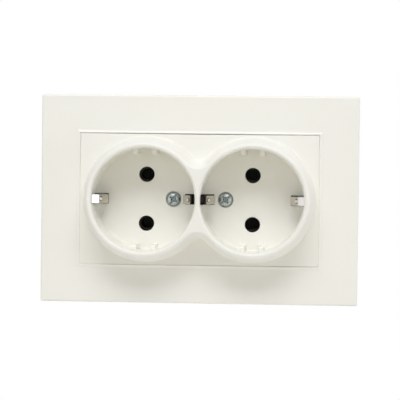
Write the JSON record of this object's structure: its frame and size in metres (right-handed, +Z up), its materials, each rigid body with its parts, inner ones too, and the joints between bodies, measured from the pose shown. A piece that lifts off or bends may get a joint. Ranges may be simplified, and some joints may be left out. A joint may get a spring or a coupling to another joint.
{
  "type": "double wall socket",
  "caption": "Flush wall socket with round earthed cups side by side in a raised figure-8 ring, a flat white frame, a steel mounting plate and screw-driven claws for the wall box.",
  "frame": {"origin": "midway between the box screws, in the plane of the wall's surface", "axes": "+X right and +Z up as seen from the front; the front faces -Y and +Y goes into the wall"},
  "size_m": [0.122, 0.0445, 0.08],
  "materials": {
    "white_plastic": "smooth moulded, soft gloss",
    "base_plastic": "moulded thermoset, matt",
    "plate_steel": "zinc plated sheet",
    "earth_strip": "nickel plated strip",
    "contact_brass": "rolled strip",
    "spring_steel": "hardened strip",
    "rivet_steel": "plated",
    "screw_steel": "plated",
    "claw_steel": "zinc plated"
  },
  "bodies": {
    "socket": {"frame": "white_plastic", "front_cover": "white_plastic", "cover_screws": "screw_steel", "mounting_plate": "plate_steel", "earth_bridge": "earth_strip", "centre_earth_clip": "earth_strip", "bridge_rivets": "rivet_steel", "contact_cover": "base_plastic", "base": "base_plastic", "base_rivets": "rivet_steel", "live_rail": "contact_brass", "neutral_rail": "contact_brass", "live_spring_left": "spring_steel", "live_spring_right": "spring_steel", "neutral_spring_left": "spring_steel", "neutral_spring_right": "spring_steel", "terminal_screws": "screw_steel", "terminal_saddles": "screw_steel"},
    "left_claw_screw": {"left_claw_screw": "claw_steel"},
    "left_claw_nut": {"left_claw_nut": "claw_steel"},
    "left_claw": {"left_claw": "claw_steel"},
    "right_claw_screw": {"right_claw_screw": "claw_steel"},
    "right_claw_nut": {"right_claw_nut": "claw_steel"},
    "right_claw": {"right_claw": "claw_steel"}
  },
  "joints": [
    {"name": "left_claw_screw_turn", "type": "hinge", "parent": "socket", "child": "left_claw_screw", "pos_m": [-0.02558, 0, 0], "axis": [0, 1, 0], "range_deg": [0, 4320]},
    {"name": "left_claw_nut_slide", "type": "slide", "parent": "socket", "child": "left_claw_nut", "axis": [0, -1, 0], "range_m": [0, 0.006]},
    {"name": "left_claw_slide", "type": "slide", "parent": "socket", "child": "left_claw", "axis": [-0.3846, -0.9231, 0], "range_m": [0, 0.0065]},
    {"name": "right_claw_screw_turn", "type": "hinge", "parent": "socket", "child": "right_claw_screw", "pos_m": [0.02558, 0, 0], "axis": [0, 1, 0], "range_deg": [0, 4320]},
    {"name": "right_claw_nut_slide", "type": "slide", "parent": "socket", "child": "right_claw_nut", "axis": [0, -1, 0], "range_m": [0, 0.006]},
    {"name": "right_claw_slide", "type": "slide", "parent": "socket", "child": "right_claw", "axis": [0.3846, -0.9231, 0], "range_m": [0, 0.0065]}
  ],
  "couplings": [
    {"joint": "left_claw_screw_turn", "follows": "left_claw_nut_slide", "rad_per_m": 12565},
    {"joint": "left_claw_slide", "follows": "left_claw_nut_slide", "ratio": 1.0832},
    {"joint": "right_claw_screw_turn", "follows": "right_claw_nut_slide", "rad_per_m": 12565},
    {"joint": "right_claw_slide", "follows": "right_claw_nut_slide", "ratio": 1.0832}
  ]
}
